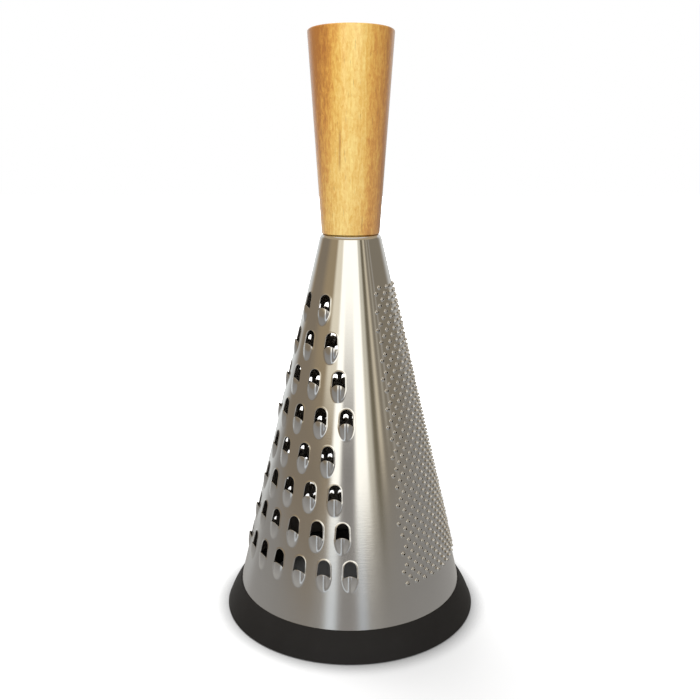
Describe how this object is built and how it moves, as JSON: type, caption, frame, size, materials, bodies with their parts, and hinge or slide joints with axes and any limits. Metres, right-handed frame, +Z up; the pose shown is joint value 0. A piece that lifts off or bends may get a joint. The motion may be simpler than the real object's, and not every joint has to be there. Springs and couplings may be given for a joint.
{
  "type": "conical grater",
  "caption": "Conical steel kitchen grater with coarse teeth, medium teeth and fine burrs, a tapered wooden handle on top and a rubber foot ring.",
  "frame": {"origin": "middle of the foot ring's underside, where the grater stands", "axes": "+Z up along the cone and the handle; -Y is the side between the coarse teeth, which lie towards -X, and the fine side, which lies towards +X"},
  "size_m": [0.1244, 0.1244, 0.2748],
  "materials": {
    "cone_steel": "polished stainless steel, finely brushed towards the foot",
    "ring_rubber": "matt black rubber",
    "handle_wood": "oiled honey-coloured hardwood, satin",
    "insert_brass": "machined brass",
    "fastener_steel": "bright zinc-plated steel"
  },
  "bodies": {
    "root": {"grater_cone": "cone_steel", "base_ring": "ring_rubber", "handle": "handle_wood", "threaded_insert": "insert_brass", "handle_screw": "fastener_steel", "flat_washer": "fastener_steel", "lock_washer": "fastener_steel"}
  },
  "joints": []
}
